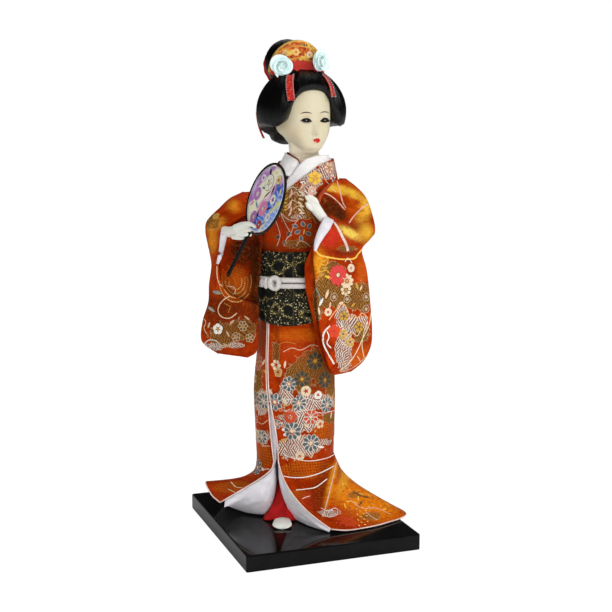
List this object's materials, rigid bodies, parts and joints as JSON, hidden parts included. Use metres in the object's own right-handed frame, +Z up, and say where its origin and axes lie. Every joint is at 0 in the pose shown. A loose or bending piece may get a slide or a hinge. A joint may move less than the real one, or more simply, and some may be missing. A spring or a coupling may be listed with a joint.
{
  "type": "display doll",
  "caption": "Dressed display doll with pinned-up black hair and a round fan, in an orange brocade robe with a black sash and spread hem, standing on a flat black lacquered base.",
  "frame": {"origin": "centre of the base's underside", "axes": "+Z up, +Y towards the doll's back, +X towards its left; the base's long side runs along Y"},
  "size_m": [0.1167, 0.123, 0.3058],
  "materials": {
    "black_lacquer": "gloss black lacquer",
    "dowel_wood": "bare turned wood",
    "padding": "matte wound padding",
    "orange_brocade": "satin brocade",
    "white_satin": "soft satin",
    "red_cloth": "matte",
    "sash_brocade": "black brocade with gold thread",
    "white_cord": "braided cord",
    "ivory_face": "smooth ivory paint",
    "white_hand": "smooth white paint",
    "black_hair": "combed black silk thread, satin",
    "comb_brocade": "gold and red brocade over card",
    "pale_aqua_ribbon": "soft ribbon",
    "fan_print": "printed paper, satin",
    "fan_frame": "black, satin"
  },
  "bodies": {
    "root": {"base_plinth": "black_lacquer", "stand_dowel": "dowel_wood", "padded_body": "padding", "robe_skirt": "orange_brocade", "robe_bodice": "orange_brocade", "sleeve_left": "orange_brocade", "sleeve_right": "orange_brocade", "facing_left": "white_satin", "facing_right": "white_satin", "collar": "white_satin", "underskirt": "red_cloth", "collar_piping": "red_cloth", "top_knot_cloth": "red_cloth", "hair_ribbon_left": "red_cloth", "hair_ribbon_right": "red_cloth", "nape_ribbon": "red_cloth", "sash": "sash_brocade", "sash_drum_knot": "sash_brocade", "sash_cord_upper": "white_cord", "sash_cord_lower": "white_cord", "sash_cord_knot": "white_cord", "head": "ivory_face", "hand_left": "white_hand", "hand_right": "white_hand", "foot": "white_hand", "wig": "black_hair", "top_knot": "black_hair", "crest_comb": "comb_brocade", "rose_left": "pale_aqua_ribbon", "rose_right": "pale_aqua_ribbon", "fan_leaf": "fan_print", "fan_rim": "fan_frame", "fan_handle": "fan_frame"}
  },
  "joints": []
}
